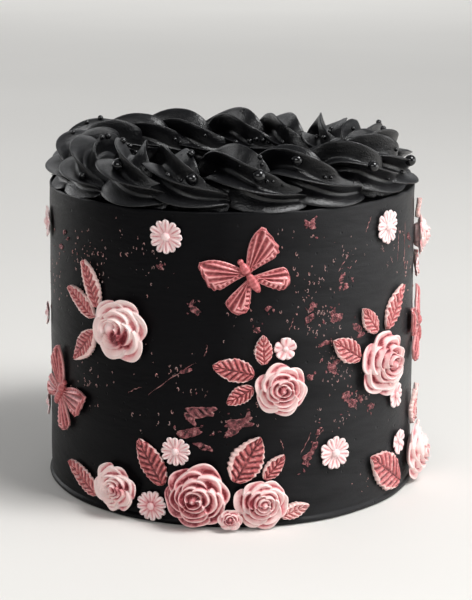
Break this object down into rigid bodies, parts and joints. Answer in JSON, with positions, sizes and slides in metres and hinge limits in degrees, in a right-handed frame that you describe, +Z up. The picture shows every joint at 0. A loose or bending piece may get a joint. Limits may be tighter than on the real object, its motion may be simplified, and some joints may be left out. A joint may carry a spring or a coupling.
{
  "type": "black celebration cake",
  "caption": "Tall round cake in black icing with a piped rope border, sugar pearls, moulded roses, leaves, blossoms and butterflies on its wall, and flakes of metallic leaf.",
  "frame": {"origin": "centre of the cake's flat underside", "axes": "+Z up; -Y towards the side that the picture shows; +X to its right"},
  "size_m": [0.1776, 0.1856, 0.1616],
  "materials": {
    "black_buttercream": "matte black icing",
    "blush_fondant": "satin blush sugar paste, deeper red in the folds",
    "dusky_rose_fondant": "dusky rose sugar paste with pale edges",
    "pearly_rose_fondant": "pearly rose-red sugar paste",
    "pale_pink_fondant": "pale pink sugar paste",
    "rose_gold_leaf": "crumpled rose-gold leaf",
    "black_sugar_pearl": "glossy black sugar pearls"
  },
  "bodies": {
    "root": {"cake": "black_buttercream", "rope_border": "black_buttercream", "rose_left": "blush_fondant", "rose_centre": "blush_fondant", "rose_right": "blush_fondant", "rose_base_left": "blush_fondant", "rose_base_middle": "blush_fondant", "rose_base_right": "blush_fondant", "rose_edge_high": "blush_fondant", "rose_edge_low": "blush_fondant", "rose_back_left": "blush_fondant", "rose_back_high": "blush_fondant", "rose_back_base": "blush_fondant", "rose_bud": "blush_fondant", "leaf_left_top": "dusky_rose_fondant", "leaf_left_middle": "dusky_rose_fondant", "leaf_left_low": "dusky_rose_fondant", "leaf_centre_top": "dusky_rose_fondant", "leaf_centre_middle": "dusky_rose_fondant", "leaf_centre_low": "dusky_rose_fondant", "leaf_right_top": "dusky_rose_fondant", "leaf_right_middle": "dusky_rose_fondant", "leaf_right_low": "dusky_rose_fondant", "leaf_base_far_left": "dusky_rose_fondant", "leaf_base_left": "dusky_rose_fondant", "leaf_base_middle": "dusky_rose_fondant", "leaf_base_right": "dusky_rose_fondant", "leaf_base_far_right": "dusky_rose_fondant", "leaf_edge_low": "dusky_rose_fondant", "leaf_edge_up": "dusky_rose_fondant", "leaf_edge_far": "dusky_rose_fondant", "leaf_high_up": "dusky_rose_fondant", "leaf_high_down": "dusky_rose_fondant", "leaf_back_left_up": "dusky_rose_fondant", "leaf_back_left_side": "dusky_rose_fondant", "leaf_back_high_up": "dusky_rose_fondant", "leaf_back_high_side": "dusky_rose_fondant", "leaf_back_high_low": "dusky_rose_fondant", "leaf_back_base_left": "dusky_rose_fondant", "leaf_back_base_right": "dusky_rose_fondant", "daisy_high_left": "pale_pink_fondant", "daisy_high_right": "pale_pink_fondant", "daisy_low_right": "pale_pink_fondant", "daisy_edge_high": "pale_pink_fondant", "daisy_edge_low": "pale_pink_fondant", "daisy_base_left": "pale_pink_fondant", "daisy_base_middle": "pale_pink_fondant", "daisy_back_high": "pale_pink_fondant", "daisy_back_low": "pale_pink_fondant", "daisy_back_base": "pale_pink_fondant", "blossom_edge_middle": "pale_pink_fondant", "blossom_centre": "pale_pink_fondant", "blossom_right": "pale_pink_fondant", "blossom_edge_low": "pale_pink_fondant", "blossom_edge_high": "pale_pink_fondant", "butterfly_front": "pearly_rose_fondant", "butterfly_left": "pearly_rose_fondant", "butterfly_right": "pearly_rose_fondant", "butterfly_back": "pearly_rose_fondant"}
  },
  "joints": []
}
